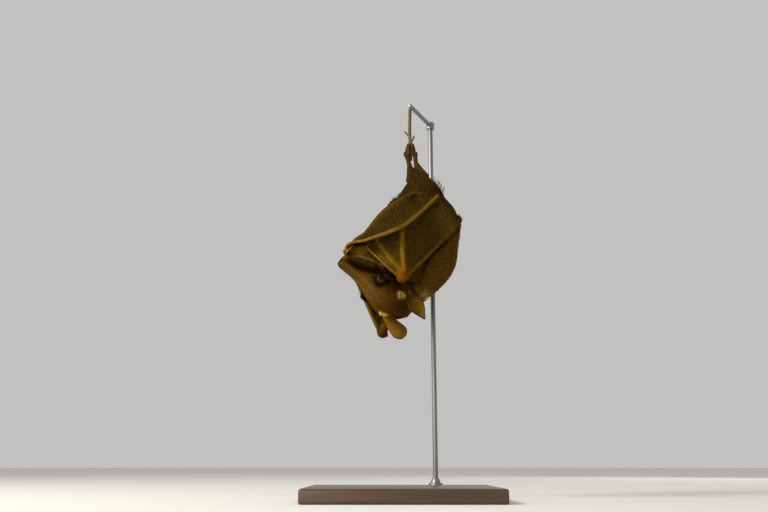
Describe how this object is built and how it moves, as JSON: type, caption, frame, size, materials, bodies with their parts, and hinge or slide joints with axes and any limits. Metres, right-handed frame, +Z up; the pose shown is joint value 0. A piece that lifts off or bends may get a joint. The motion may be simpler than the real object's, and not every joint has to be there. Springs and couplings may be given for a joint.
{
  "type": "fruit bat model",
  "caption": "Life-size still model of an epauletted fruit bat hanging head down from a cut twig, wings wrapped round its belly, held by a plain display stand",
  "frame": {"origin": "Middle of the stand base's underside", "axes": "+Z up along the hanging body, -Y towards the viewer, +X to the viewer's right; the muzzle points to -X"},
  "size_m": [0.11, 0.09, 0.251],
  "materials": {
    "brown_fur": "short dense fur, matt",
    "flight_skin": "thin dark brown flight skin, satin",
    "finger_skin": "bare tan skin over bone, satin",
    "nose_skin": "bare pinkish skin, slightly moist",
    "eye": "dark brown glossy eye, opaque",
    "bark": "thin green-brown twig bark",
    "stained_wood": "dark stained base, satin",
    "steel": "plain round rod"
  },
  "bodies": {
    "root": {"ear_left": "finger_skin", "ear_right": "finger_skin", "eye_left": "eye", "eye_right": "eye", "finger_2_left": "finger_skin", "finger_2_right": "finger_skin", "finger_3_left": "finger_skin", "finger_3_right": "finger_skin", "finger_4_left": "finger_skin", "finger_4_right": "finger_skin", "finger_5_left": "finger_skin", "finger_5_right": "finger_skin", "foot_left": "finger_skin", "foot_right": "finger_skin", "forearm_left": "finger_skin", "forearm_right": "finger_skin", "head": "brown_fur", "jaw": "brown_fur", "membrane_34_left": "flight_skin", "membrane_34_right": "flight_skin", "membrane_45_left": "flight_skin", "membrane_45_right": "flight_skin", "membrane_arm_left": "flight_skin", "membrane_arm_right": "flight_skin", "neck": "brown_fur", "nose": "nose_skin", "perch": "bark", "propatagium_left": "flight_skin", "propatagium_right": "flight_skin", "shank_left": "brown_fur", "shank_right": "brown_fur", "stand_arm": "steel", "stand_base": "stained_wood", "stand_rod": "steel", "throat": "brown_fur", "thumb_left": "finger_skin", "thumb_right": "finger_skin", "trunk": "brown_fur", "upper_arm_left": "brown_fur", "upper_arm_right": "brown_fur", "wrist_left": "finger_skin", "wrist_right": "finger_skin"}
  },
  "joints": []
}
